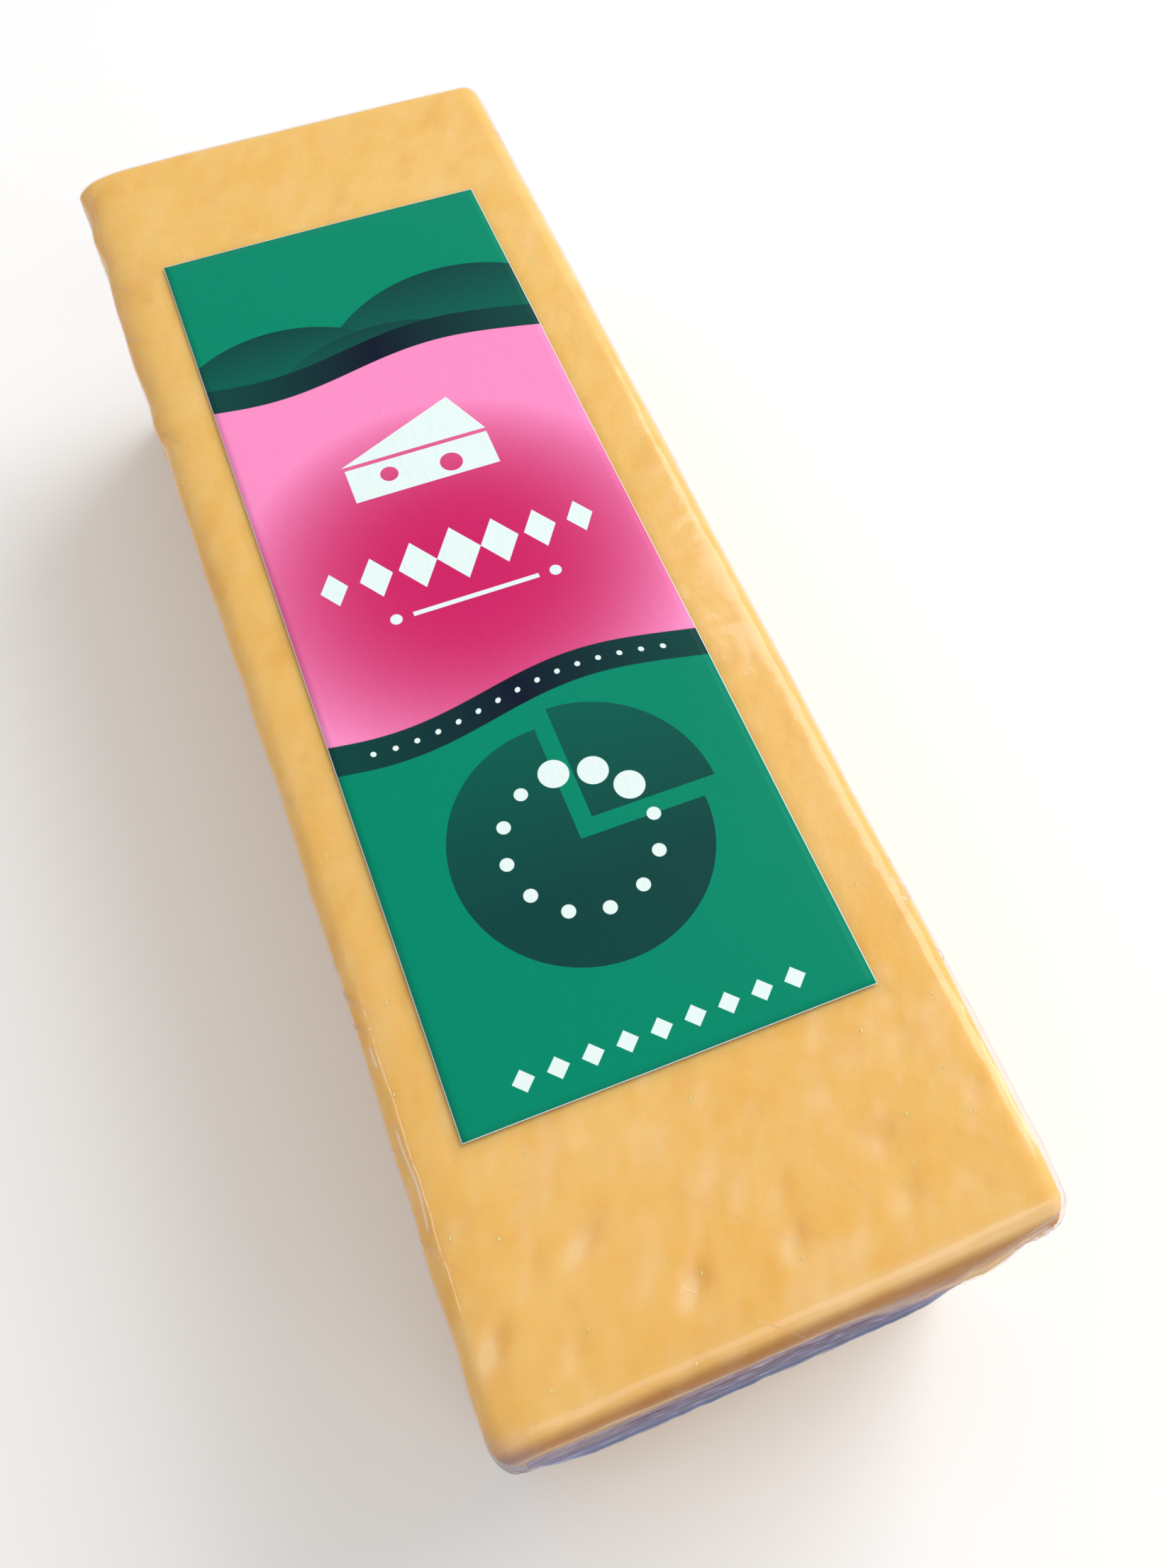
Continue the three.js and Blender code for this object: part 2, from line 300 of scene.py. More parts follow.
def soft_block(step, rounding_steps, ear_share):
    """The block's surface: points from the middle of its underside, which way is out at each, and quads.

    ear_share gives how much of the ears' step the surface takes at x and y.
    """
    lines = [cuts(size, step, rounding_steps) for size in BLOCK]
    lattice, quads = box_lattice([len(line) - 1 for line in lines])
    sharp = np.stack([lines[k][lattice[:, k]] for k in range(3)], 1)
    inner = BLOCK / 2 - EDGE_RADIUS
    core = np.clip(sharp, -inner, inner)
    out = sharp - core
    out /= np.linalg.norm(out, axis=1, keepdims=True)
    at = core + out * EDGE_RADIUS
    at[:, 2] += BLOCK[2] / 2
    x, y, z = at.T.copy()
    ear = ear_step(x, z) * ear_share(x, y)
    side = np.where(out[:, 0] > 0, right_swell(y, z), left_swell(y, z))
    end = ear + np.where(out[:, 1] > 0, far_bow(x), near_bow(x, np.sin(math.pi * z / BLOCK[2])))
    at[:, 0] += out[:, 0] * side
    at[:, 1] += out[:, 1] * end
    at[:, 2] += np.maximum(0, out[:, 2]) * top_swell(x, y)
    at += out * (ragged_end(at, out) + side_lumps(at, out))[:, None]
    return at, out, quads


def mark(piece, name, values):
    """Gives every point of a piece a number that its material reads by name."""
    attribute = piece.data.attributes.new(name, "FLOAT", "POINT")
    attribute.data.foreach_set("value", np.asarray(values, dtype=np.float32))


def piece_from(name, points, quads):
    """A smooth-shaded mesh piece whose points are given from the middle of the block's underside."""
    mesh = bpy.data.meshes.new(name)
    placed = points + np.array((BLOCK_X, BLOCK_Y, 0))
    mesh.from_pydata([tuple(p) for p in placed], [], quads)
    mesh.shade_smooth()
    piece = bpy.data.objects.new(name, mesh)
    bpy.context.scene.collection.objects.link(piece)
    return piece


def finished(piece, material=None):
    """Gives a piece its body and its slot, and its material where it has none yet."""
    if material:
        piece.data.materials.clear()
        piece.data.materials.append(material)
    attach(piece, "root")
    return piece


class Field:
    """A socket's value in a node tree. Arithmetic on it adds Math nodes to the tree."""

    def __init__(self, graph, socket):
        self.graph = graph
        self.socket = socket

    def math(self, operation, *terms):
        return self.graph.add("ShaderNodeMath", {"operation": operation}, dict(enumerate(terms)))

    def __add__(self, other):
        return self.math("ADD", self, other)

    def __sub__(self, other):
        return self.math("SUBTRACT", self, other)

    def __mul__(self, other):
        return self.math("MULTIPLY", self, other)

    def __truediv__(self, other):
        return self.math("DIVIDE", self, other)

    def __pow__(self, other):
        return self.math("POWER", self, other)

    def __rsub__(self, other):
        return self.math("SUBTRACT", other, self)

    def __neg__(self):
        return self.math("MULTIPLY", self, -1)

    def __abs__(self):
        return self.math("ABSOLUTE", self)

    __radd__ = __add__
    __rmul__ = __mul__

    def sin(self):
        return self.math("SINE", self)

    def cos(self):
        return self.math("COSINE", self)

    def least(self, other):
        return self.math("MINIMUM", self, other)

    def most(self, other):
        return self.math("MAXIMUM", self, other)

    def held(self):
        """Held between 0 and 1."""
        return self.most(0).least(1)

    def rise(self, start, width):
        """0 up to start, and rising evenly to 1 over a width."""
        return ((self - start) / width).held()

    def fall(self, end, width):
        """0 from end on, and falling evenly to it from 1 over a width."""
        return ((end - self) / width).held()

    def below(self, edge, soft=0.12):
        """1 where this is less than edge and 0 where it is more, over a soft width."""
        return ((edge - self) / soft + 0.5).held()


def together(masks):
    """The greatest of several masks at each place."""
    return reduce(Field.most, masks)


class Graph:
    """One node tree. add makes any node: its settings come first, then its sockets' values or links."""

    def __init__(self, tree):
        self.tree = tree
        tree.nodes.clear()

    def add(self, kind, settings=None, sockets=None, out=0):
        node = self.tree.nodes.new(kind)
        for name, value in (settings or {}).items():
            setattr(node, name, value)
        for name, value in (sockets or {}).items():
            if isinstance(value, Field):
                self.tree.links.new(value.socket, node.inputs[name])
            else:
                node.inputs[name].default_value = value
        return Field(self, node.outputs[out]) if len(node.outputs) else node

    def others(self, field, *names):
        """Further outputs of the node that a field comes from."""
        return [Field(self, field.socket.node.outputs[name]) for name in names]

    def split(self, vector):
        x = self.add("ShaderNodeSeparateXYZ", None, {0: vector})
        return [x, *self.others(x, 1, 2)]

    def joined(self, x, y, z):
        return self.add("ShaderNodeCombineXYZ", None, {0: x, 1: y, 2: z})

    def attribute(self, name):
        return self.add("ShaderNodeAttribute", {"attribute_name": name}, out=2)

    def noise(self, vector, scale, detail=2.0, roughness=0.5):
        sockets = {"Vector": vector, "Scale": scale, "Detail": detail, "Roughness": roughness}
        return self.add("ShaderNodeTexNoise", None, sockets)

    def dyed(self, share, colour, dye):
        """A colour multiplied by another, by a share from 0 to 1."""
        settings = {"data_type": "RGBA", "blend_type": "MULTIPLY"}
        return self.add("ShaderNodeMix", settings, {0: share, 6: colour, 7: dye}, out=2)

    def blend(self, share, first, second):
        """From the first colour to the second by a share from 0 to 1."""
        return self.add("ShaderNodeMix", {"data_type": "RGBA"}, {0: share, 6: first, 7: second}, out=2)

    def tinted(self, colour, amount):
        """A colour made lighter or darker by a factor about 1."""
        return self.dyed(1.0, colour, self.joined(amount, amount, amount))

    def bump(self, height, strength, distance):
        sockets = {"Height": height, "Strength": strength, "Distance": distance}
        return self.add("ShaderNodeBump", None, sockets)


def paint(red, green, blue):
    """A colour given as screen values from 0 to 255, as the linear colour that a shader takes."""
    parts = [value / 255 for value in (red, green, blue)]
    linear = [p / 12.92 if p <= 0.04045 else ((p + 0.055) / 1.055) ** 2.4 for p in parts]
    return (*linear, 1.0)


def surface(name):
    """A new material and its graph."""
    material = bpy.data.materials.new(name)
    material.use_nodes = True
    return material, Graph(material.node_tree)


def object_place(graph):
    """Object coordinates, in metres."""
    return graph.add("ShaderNodeTexCoord", out=3)


def from_block(graph):
    """Object coordinates in millimetres, measured from the middle of the block's underside."""
    x, y, z = graph.split(object_place(graph))
    return (x - BLOCK_X) / MM, (y - BLOCK_Y) / MM, z / MM


# Cheese colours
CHEESE_PALE = paint(236, 198, 120)
CHEESE_FULL = paint(233, 185, 86)
CHEESE_DEEP = paint(222, 164, 66)
CHEESE_HAZE_AND_HIGHLIGHT = paint(240, 206, 150)
SIDE_SHADE = paint(246, 234, 214)
RIM_SHADE = paint(206, 188, 190)
CHEESE_FLECK = paint(244, 208, 128)

# How fine the patterns in the cheese are, in waves per millimetre, but the flecks' own in waves per metre.
# The leaning ones are drawn out by their stretch
DRIFT_SCALE = 0.024
CURD_SCALE = 0.15
CURD_STRETCH = 0.7
MOTTLE_SCALE = 0.55
DEEP_SCALE = 0.1
HAZE_SCALE = 0.17
GRAIN_SCALE = 0.3
FLECK_GRAIN = 900.0

# How strongly the painted highlight and painted shade on the dents' two sides show, and how much the painted
# shadow darkens the cheese under the label and round it
DENT_SHADING_CONTRAST = 2.1
DENT_SHADE_SHARE = 0.55
DENT_HIGHLIGHT_SHARE = 0.84
LABEL_SHADE = 0.12


def cheese_material():
    """Waxy orange cheddar: broad drifts of colour, softly knitted curds and a finer mottle."""
    material, g = surface("orange_cheddar")
    x, y, z = from_block(g)
    place = g.joined(x, y, z)
    lean_x, lean_y = math.cos(DENT_LEAN), math.sin(DENT_LEAN)
    leaning = g.joined((x * lean_x + y * lean_y) * CURD_STRETCH, y * lean_x - x * lean_y, z)
    drift = g.noise(place, DRIFT_SCALE, 1.0)
    curds = g.noise(leaning, CURD_SCALE, 3.0, 0.55)
    mottle = g.noise(place, MOTTLE_SCALE)
    share = (drift * 1.1 + curds * 1.5 + mottle * 0.3 - 0.95).held()
    colour = g.blend(share, CHEESE_PALE, CHEESE_FULL)
    drop = HEIGHT_MM - z
    side = drop.rise(1.4, 2.2)
    deep = g.noise(leaning, DEEP_SCALE).rise(0.55, 0.2)
    colour = g.blend(deep * (side * 0.3 + 0.4), colour, CHEESE_DEEP)
    # Pale haze in soft patches, strongest in the near margin
    near = (-y).rise(84, 14).most(side * 0.7) * 0.4 + 0.25
    haze_and_highlight = g.noise(leaning, HAZE_SCALE, 1.0).rise(0.5, 0.3125)
    colour = g.blend(haze_and_highlight * near, colour, CHEESE_HAZE_AND_HIGHLIGHT)
    # Painted shade and painted highlight on the dents' two sides
    for name, most, tone in (("deep", DENT_SHADE_SHARE, CHEESE_DEEP), ("haze_and_highlight", DENT_HIGHLIGHT_SHARE, CHEESE_HAZE_AND_HIGHLIGHT)):
        share = (g.attribute(name) ** 2 * DENT_SHADING_CONTRAST).held()
        colour = g.blend(share * most, colour, tone)
    # Painted shade: the sides are made a deeper amber from the roundings down
    colour = g.dyed(side, colour, SIDE_SHADE)
    # Painted highlight: the near rim is made creamy where the film bridges it, more so to the right
    inside_end = y + HALF_LENGTH_MM
    rim_highlight = inside_end.fall(5.4, 1.8) * inside_end.rise(1.2, 1.2)
    colour = g.blend(rim_highlight * (x.rise(-14, 40) * 0.56 + 0.16), colour, CHEESE_HAZE_AND_HIGHLIGHT)
    # Painted shade: its lower part is made brown, under the folds of film
    rim = drop.rise(1.3, 0.9) * drop.fall(8, 3) * inside_end.fall(2.6, 1.6)
    colour = g.dyed(rim, colour, RIM_SHADE)
    # Painted shadow: the cheese is a little darker under the label and round it
    u = abs(x - LABEL_SHIFT_X / MM) - LABEL_HALF_WIDTH_MM
    v = abs(y - LABEL_SHIFT_Y / MM) - LABEL_HALF_LENGTH_MM
    label_shadow = u.most(v).below(1.2, 3.0) * drop.below(2)
    colour = g.tinted(colour, 1 - label_shadow * LABEL_SHADE)
    height = g.noise(leaning, GRAIN_SCALE)
    sockets = {
        "Base Color": colour,
        "Roughness": 0.5,
        "Specular IOR Level": 0.25,
        "Subsurface Weight": 1.0,
        "Subsurface Radius": (1.0, 0.45, 0.2),
        "Subsurface Scale": 0.0018,
        "Normal": g.bump(height, 0.3, 0.0008),
    }
    shader = g.add("ShaderNodeBsdfPrincipled", None, sockets)
    g.add("ShaderNodeOutputMaterial", None, {"Surface": shader})
    return material


def fleck_material():
    """The pale flecks where curds have knitted."""
    material, g = surface("pale_fleck")
    share = g.noise(object_place(g), FLECK_GRAIN, 1.0)
    colour = g.blend(share, CHEESE_FLECK, CHEESE_PALE)
    sockets = {"Base Color": colour, "Roughness": 0.5, "Subsurface Weight": 0.3, "Subsurface Scale": 0.001}
    shader = g.add("ShaderNodeBsdfPrincipled", None, sockets)
    g.add("ShaderNodeOutputMaterial", None, {"Surface": shader})
    return material


# The film's colours, and the share of light that it reflects head on
FILM_CLEAR = (1.0, 0.995, 0.985, 1.0)
FILM_SHINE = (0.84, 0.79, 0.92, 1.0)
FILM_REFLECTANCE = 0.04
EAR_TINT = paint(206, 192, 200)
CORNER_SHADE = paint(142, 138, 160)
CREASE_HIGHLIGHT = paint(255, 238, 204)
GATHER_TINT = paint(168, 160, 180)

# Painted highlights on two creases on the left edge, beside the label's near corner: how far left of the
# middle they lie, how they waver, and each one's middle along the block, half length and soft width
EDGE_CREASE_LEFT = 47
EDGE_CREASE_WAVER = 0.25
EDGE_CREASES = ((-104.4, 8.5, 2), (-83.4, 2, 1))


def ear_mask(x, y, z):
    """1 on the triangles of gathered film at the ends, but for the near right one, and 0 elsewhere."""
    in_from_side = HALF_WIDTH_MM - abs(x)
    half_height = (1 - in_from_side / (EAR_REACH / MM)) * (EAR_HALF_HEIGHT / MM)
    inside = half_height - abs(z - EAR_MIDDLE / MM)
    filled = x.rise(14, 1) * (-y).rise(0, 1)
    return inside.rise(-1.5, 2.4) * abs(y).rise(HALF_LENGTH_MM - 1.6, 1) * (1 - filled)


def long_creases(g, x, y, z):
    """Creases that lean across the sides, each over a part of their height."""
    line = g.noise(g.joined((x + y) * 0.055 + z * 0.02, z * 0.007, x * 0.01), 1.0, 1.0)
    few = g.noise(g.joined(x, y, z), 0.024, 1.0).rise(0.47, 1 / 7)
    return abs(line - 0.5).below(0.005, 0.009) * few


def end_folds(g, x, y, z):
    """Finer folds that the gathered ends pull along the sides."""
    line = g.noise(g.joined(x * 0.012, y * 0.006, z * 0.085), 1.0, 1.0)
    return abs(line - 0.5).below(0.006, 0.012) * abs(y).rise(96, 40)


def edge_crease_highlights(x, y, z):
    """The painted highlights on two creases by the label's near corner."""
    lengths = together(abs(y - middle).below(half, soft) for middle, half, soft in EDGE_CREASES)
    line = abs(x + EDGE_CREASE_LEFT - (y * 0.4).sin() * EDGE_CREASE_WAVER).below(0.2, 0.5)
    return line * lengths * z.rise(70, 1)


def film_material():
    """Clear shrunk film: its gloss, pale creases that are partly painted highlight, painted highlights by the
    label, painted shade at the near left corner, and haze where it is gathered.
    """
    material, g = surface("clear_film")
    x, y, z = from_block(g)
    place = g.joined(x, y, z)
    below_top = z.fall(HEIGHT_MM, 3)
    crease = long_creases(g, x, y, z)
    pull = end_folds(g, x, y, z) * below_top
    wrinkles = g.noise(place, 0.09) + g.noise(place, 0.4) * below_top * 0.4
    relief = wrinkles + (crease + pull * 0.7) * below_top * 0.8
    normal = g.bump(relief, 0.4, 0.001)
    # A thin sheet reflects alike from both its faces
    facing = g.add("ShaderNodeLayerWeight", None, {"Blend": 0.5, "Normal": normal}, out=1)
    gloss = facing**5 * (1 - FILM_REFLECTANCE) + FILM_REFLECTANCE
    # The gloss is held down, least at the right edge and most on the near end
    right_edge = x.rise(36, 12)
    dull_end = (-y).rise(HALF_LENGTH_MM - 4, 1) * (1 - right_edge)
    most_gloss = (right_edge * 0.5 + x.rise(-50.4, 12) * 0.2 + 0.2) * (1 - dull_end * 0.7)
    # Film gathered at the near left corner, with painted shade there, and between the near rim and the tail
    at_corner = (-x).rise(40, 9) * (-y).rise(HALF_LENGTH_MM - 7, 7) * below_top
    at_near_end = (-y).rise(HALF_LENGTH_MM - 0.3, 0.5) * x.fall(34, 14)
    above_fold = at_near_end * z.fall(77, 3) * z.rise(TAIL_TOP_MM, 14)
    crease_highlights = edge_crease_highlights(x, y, z)
    tint = g.blend(at_corner, g.blend(above_fold, EAR_TINT, GATHER_TINT), CORNER_SHADE)
    tint = g.blend(crease_highlights, tint, CREASE_HIGHLIGHT)
    streaks = g.noise(g.joined(x * 0.12, y, z * 0.8), 1.0, 3.0)
    # Haze on the ears and above the fold; at the near left corner its darker tint is painted shade, along the
    # creases and end folds its paleness is partly painted highlight, and by the label it is painted highlight
    hazes = (
        ear_mask(x, y, z) * (0.08 + streaks * 0.42),
        above_fold * (streaks * 0.6 + 0.1),
        crease * (below_top * 0.34 + 0.03) + pull * 0.26,
        crease_highlights * 0.66,
        at_corner * (streaks * 0.7 + 0.2),
    )
    clear = g.add("ShaderNodeBsdfTransparent", None, {"Color": FILM_CLEAR})
    haze_and_highlight = g.add("ShaderNodeBsdfDiffuse", None, {"Color": tint, "Normal": normal})
    body = g.add("ShaderNodeMixShader", None, {0: together(hazes).held(), 1: clear, 2: haze_and_highlight})
    shine = g.add("ShaderNodeBsdfGlossy", None, {"Color": FILM_SHINE, "Roughness": 0.14, "Normal": normal})
    shader = g.add("ShaderNodeMixShader", None, {0: gloss.least(most_gloss), 1: body, 2: shine})
    g.add("ShaderNodeOutputMaterial", None, {"Surface": shader})
    return material


# The folded film's colours, painted as film in shade with glints, how far its folds reach out in millimetres,
# and its creases, with painted shade: how far out each lies, as a share of that reach, and how wide it is
FOLD_HAZE = paint(216, 212, 224)
FOLD_ROOT = paint(196, 188, 214)
FOLD_LIGHT = paint(172, 176, 212)
FOLD_DARK = paint(152, 158, 196)
FOLD_EDGE_SHADE = paint(100, 112, 152)
FOLD_CREASE_SHADE = paint(124, 108, 152)
FOLD_GLINT = paint(226, 220, 236)
FOLD_REACH = 2.4
FOLD_CREASES = ((0.26, 0.05), (0.44, 0.035), (0.6, 0.045))


def folded_film_material():
    """Film lying in several layers, its top painted as film in shade: lilac, bluer further out, with painted
    shade in its creases, painted glints and a painted dark outer edge.
    """
    material, g = surface("folded_film")
    x, y, z = from_block(g)
    outward = (abs(y) - HALF_LENGTH_MM) / FOLD_REACH
    drift = g.noise(g.joined(x * 0.05, z * 0.3, y * 0.02), 1.0) - 0.5
    place = outward + drift * 0.5
    # Painted shade: lilac at the root, bluer and darker further out, and darker in the creases
    colour = g.blend((place * 3.2).held(), FOLD_ROOT, FOLD_LIGHT)
    colour = g.blend((place * 2.4 - 0.9).held(), colour, FOLD_DARK)
    for middle, width in FOLD_CREASES:
        crease = abs(place - middle).below(width, 0.05)
        colour = g.blend(crease * 0.6, colour, FOLD_CREASE_SHADE)
    # Painted highlights: pale glints on the folds
    glint = g.noise(g.joined(x * 0.09, y * 2.2, 0.0), 1.0, 1.0).rise(0.62, 1 / 9)
    colour = g.blend(glint * (1.1 - place).held() * 0.8, colour, FOLD_GLINT)
    on_top = z.rise(TAIL_TOP_MM - 1.4, 1)
    # Painted shade: a dark outer edge on top
    colour = g.blend(outward.rise(0.8, 0.2) * on_top, colour, FOLD_EDGE_SHADE)
    wrinkles = g.noise(g.joined(x * 0.4, y, z), 0.8)
    # Its folds on top are nearly opaque, and the flat seal that hangs from them is clear but for its ribs
    ribs = (z * (TURN * MM / CRIMP_PITCH)).sin() * (1 - on_top)
    opacity = on_top * 0.6 + wrinkles * 0.3 + ribs * 0.07 + 0.12
    sockets = {
        "Base Color": g.blend(on_top, FOLD_HAZE, colour),
        "Roughness": 0.18,
        "Alpha": opacity.held(),
        "Normal": g.bump(wrinkles, 0.4, 0.0004),
    }
    shader = g.add("ShaderNodeBsdfPrincipled", None, sockets)
    g.add("ShaderNodeOutputMaterial", None, {"Surface": shader})
    return material


def film_lift(at, out):
    """How far the cheese lies inside the film."""
    near = smooth(-at[:, 1], *RIM_LIFT_START)
    return FILM_GAP + RIM_LIFT * np.clip(out[:, 0], 0, 1) * near


def make_cheese():
    at, out, quads = soft_block(*CHEESE_MESH, near_right)
    x, y, _ = at.T
    at -= out * film_lift(at, out)[:, None]
    piece = piece_from("cheese", at, quads)
    # Each dent has a painted highlight on its one side and painted shade on its other
    mark(piece, "haze_and_highlight", dent_depth(x + DENT_LIGHTING_OFFSET[0], y + DENT_LIGHTING_OFFSET[1]) / DENT_DEPTH)
    mark(piece, "deep", dent_depth(x - DENT_LIGHTING_OFFSET[0], y - DENT_LIGHTING_OFFSET[1]) / DENT_DEPTH)
    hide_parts("cheddar_pack")
    return finished(piece, cheese_material())


def film_wrinkles(at, out):
    """How far the film's fine wrinkles stand in or out of its even form, but for its underside."""
    sides = np.abs(out[:, 0]) * lumps(at, SIDE_WRINKLES)
    ends = np.abs(out[:, 1]) * lumps(at, END_WRINKLES)
    rim = smooth(np.minimum(np.abs(out[:, 2]), np.hypot(out[:, 0], out[:, 1])), 0.1, 0.6)
    nicks = rim * lumps(at, RIM_NICKS)
    return (sides + ends + nicks) * smooth(out[:, 2], -0.9, -0.4)


def make_film():
    at, out, quads = soft_block(*FILM_MESH, lambda x, y: 1)
    at += out * film_wrinkles(at, out)[:, None]
    piece = piece_from("film", at, quads)
    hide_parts("cheddar_pack")
    return finished(piece, film_material())


def geometry_tree(name, numbers):
    """A Geometry Nodes tree with named inputs, its graph, its inputs as fields by name, and its start."""
    tree = bpy.data.node_groups.new(name, "GeometryNodeTree")
    tree.interface.new_socket("Geometry", in_out="INPUT", socket_type="NodeSocketGeometry")
    for number in numbers:
        tree.interface.new_socket(number, in_out="INPUT", socket_type="NodeSocketFloat")
    tree.interface.new_socket("Geometry", in_out="OUTPUT", socket_type="NodeSocketGeometry")
    graph = Graph(tree)
    start = graph.add("NodeGroupInput")
    fields = dict(zip(numbers, graph.others(start, *numbers)))
    return tree, graph, fields, start


def ending(graph, geometry, material):
    """Ends a tree in Realize Instances and Set Material."""
    real = graph.add("GeometryNodeRealizeInstances", None, {0: geometry})
    dressed = graph.add("GeometryNodeSetMaterial", None, {"Geometry": real, "Material": material})
    graph.add("NodeGroupOutput", None, {0: dressed})


def grown(name, tree, values, base=None):
    """Runs a tree on a base mesh, or on nothing, and returns the result as a plain mesh piece."""
    mesh = base.data.copy() if base else bpy.data.meshes.new(name)
    holder = bpy.data.objects.new(name + "_seed", mesh)
    bpy.context.scene.collection.objects.link(holder)
    modifier = holder.modifiers.new(name, "NODES")
    modifier.node_group = tree
    for item in tree.interface.items_tree:
        if item.in_out == "INPUT" and item.name in values:
            modifier[item.identifier] = values[item.name]
    bpy.context.view_layer.update()
    evaluated = holder.evaluated_get(bpy.context.evaluated_depsgraph_get())
    result = bpy.data.meshes.new_from_object(evaluated)
    result.name = name
    bpy.data.objects.remove(holder)
    piece = bpy.data.objects.new(name, result)
    bpy.context.scene.collection.objects.link(piece)
    return piece


def mended(mesh):
    """Merges doubled points, turns every face the same way and shades them smooth."""
    shape = bmesh.new()
    shape.from_mesh(mesh)
    bmesh.ops.remove_doubles(shape, verts=shape.verts, dist=0.01 * MM)
    bmesh.ops.recalc_face_normals(shape, faces=shape.faces)
    shape.to_mesh(mesh)
    shape.free()
    mesh.shade_smooth()


TAIL_SIZES = {
    "Width": TAIL_WIDTH,
    "Shift": TAIL_SHIFT,
    "Top": TAIL_TOP,
    "Drop": TAIL_DROP,
    "Root": TAIL_ROOT,
    "Stand off": TAIL_STAND_OFF,
    "Bend": TAIL_BEND,
    "Ripple": 0.25 * MM,
    "Ripple pitch": 31 * MM,
    "Taper": 14 * MM,
    "Pleat": 0.09 * MM,
    "Pleat pitch": 1.5 * MM,
    "Crimp": 0.07 * MM,
    "Crimp pitch": CRIMP_PITCH,
    "Ragged": 0.9 * MM,
    "Corner fall": NEAR_CORNER_FALL,
    "Facing": -1.0,
    "Seed": 4.0,
}
FAR_TAIL_SIZES = {
    **TAIL_SIZES,
    "Corner fall": FAR_CORNER_FALL * FAR_RIGHT_SHARE,
    "Facing": 1.0,
    "Seed": 9.0,
}

# How uneven a tail's edge is, how far it still stands off at its two ends, and how far its crimps reach
TAIL_UNEVENNESS = 0.8 * MM
TAIL_LEAST_SHARE = 0.15
CRIMPED_SHARE = 0.75


def tail_tree(material):
    """A sealed tail: a strip of film that leaves the end, turns over and hangs, with a crimped seal."""
    tree, g, n, _ = geometry_tree("sealed_tail", list(TAIL_SIZES))
    grid = g.add("GeometryNodeMeshGrid", None, {0: 1.0, 1: 1.0, 2: TAIL_COLUMNS, 3: TAIL_ROWS})
    share_x, share_y, _ = g.split(g.add("GeometryNodeInputPosition"))
    x = (share_x * n["Width"] + n["Shift"]) * -n["Facing"]
    unevenly = g.noise(g.joined(x, n["Seed"], 0.0), 210.0) - 0.5
    to_end = (0.5 - abs(share_x)) * n["Width"] / n["Taper"]
    taper = TAIL_LEAST_SHARE + (1 - TAIL_LEAST_SHARE) * (to_end.held() * (math.pi / 2)).sin()
    # How far each point has gone along the strip: straight out, round the bend and down
    straight = n["Root"] + n["Stand off"] * taper - n["Bend"] + unevenly * TAIL_UNEVENNESS
    bent = n["Bend"] * (math.pi / 2)
    run = straight + bent + n["Drop"] + unevenly * n["Ragged"]
    gone = (share_y + 0.5) * run
    turned = ((gone - straight) / bent).held() * (math.pi / 2)
    hung = (gone - straight - bent).most(0)
    ripple = n["Ripple"] * (x / n["Ripple pitch"] * TURN + unevenly * 3).sin() * (hung / n["Drop"])
    crimped = hung.below(n["Drop"] * CRIMPED_SHARE, 0.5 * MM)
    crimp = n["Crimp"] * (hung / n["Crimp pitch"] * TURN).sin() * crimped
    outward = gone.least(straight) + n["Bend"] * turned.sin() + ripple + crimp
    pleat_phase = (gone / n["Pleat pitch"] + unevenly * 3) * TURN
    pleat_share = g.noise(g.joined(x, gone * 6, n["Seed"]), 90.0, 1.0)
    pleat = n["Pleat"] * 2 * pleat_share * pleat_phase.sin() * gone.below(straight, 0.4 * MM)
    height = n["Top"] - n["Bend"] * (1 - turned.cos()) - hung + pleat
    # The tail follows the end, which falls back to its right corner
    fallen = (x * 2 / BLOCK[0]).most(0) ** NEAR_CORNER_POWER * n["Corner fall"]
    face = BLOCK[1] / 2 + NEAR_BELLY - fallen
    y = (outward + face - n["Root"]) * n["Facing"]
    placed = g.joined(x + BLOCK_X, y + BLOCK_Y, height)
    moved = g.add("GeometryNodeSetPosition", None, {"Geometry": grid, "Position": placed})
    ending(g, moved, material)
    return tree


def make_tails():
    tree = tail_tree(folded_film_material())
    for name, sizes in (("near_tail", TAIL_SIZES), ("far_tail", FAR_TAIL_SIZES)):
        piece = grown(name, tree, sizes)
        mended(piece.data)
        film = piece.modifiers.new("film", "SOLIDIFY")
        film.thickness = TAIL_FILM
        film.offset = 0
        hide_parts("cheddar_pack")
        finished(piece)


# The flecks: how many lie on a square metre, their smallest and largest radius, how a fleck's three
# radii compare, and how upright the face under it is at least
FLECK_SIZES = {"Density": 5200.0, "Smallest": 0.1 * MM, "Largest": 0.3 * MM}
FLECK_SHAPE = (1.0, 1.4, 0.35)
FLECK_FACING = 0.7


def fleck_tree(material):
    """Small pale flecks, strewn over the upward faces of a base mesh."""
    tree, g, n, start = geometry_tree("curd_flecks", list(FLECK_SIZES))
    normal_up = g.split(g.add("GeometryNodeInputNormal"))[2]
    chosen = normal_up.math("GREATER_THAN", normal_up, FLECK_FACING)
    strewing = {"Mesh": start, "Density": n["Density"], "Selection": chosen, "Seed": 11}
    points = g.add("GeometryNodeDistributePointsOnFaces", {"distribute_method": "RANDOM"}, strewing)
    fleck = g.add("GeometryNodeMeshIcoSphere", None, {"Radius": 1.0, "Subdivisions": 2})
    sizing = {2: n["Smallest"], 3: n["Largest"], "Seed": 5}
    size = g.add("FunctionNodeRandomValue", {"data_type": "FLOAT"}, sizing, out=1)
    flat = g.joined(*(size * share for share in FLECK_SHAPE))
    strewn = g.add("GeometryNodeInstanceOnPoints", None, {"Points": points, "Instance": fleck, "Scale": flat})
    ending(g, strewn, material)
    return tree


